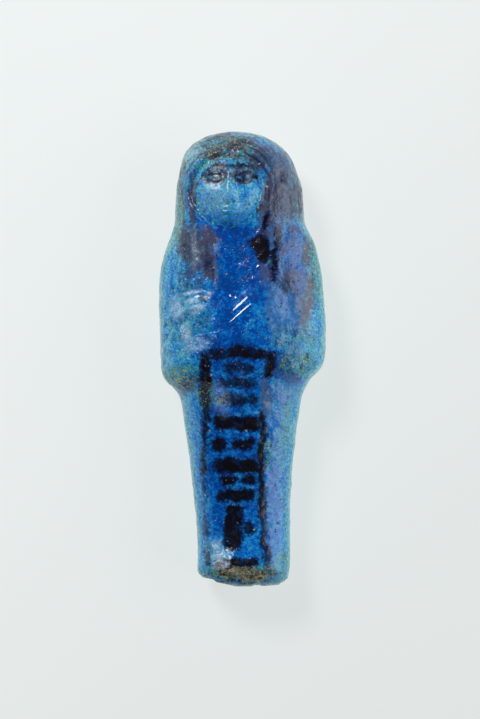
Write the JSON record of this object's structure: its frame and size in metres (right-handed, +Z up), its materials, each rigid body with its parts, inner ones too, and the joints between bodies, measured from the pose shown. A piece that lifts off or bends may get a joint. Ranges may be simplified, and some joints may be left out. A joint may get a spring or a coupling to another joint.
{
  "type": "ushabti figurine",
  "caption": "Moulded faience funerary figurine of a mummy in a long wig with crossed arms, lying on its back.",
  "frame": {"origin": "on the resting plane, under the middle of the figure's bounding box", "axes": "+Z up out of the chest, +Y from the sole to the crown, +X to the figure's own left"},
  "size_m": [0.0332, 0.09, 0.0193],
  "materials": {
    "blue_glaze": "glossy blue copper glaze with black painted details, worn and pitted to a pale turquoise and ochre body at the edges"
  },
  "bodies": {
    "root": {"ushabti_figure": "blue_glaze"}
  },
  "joints": []
}
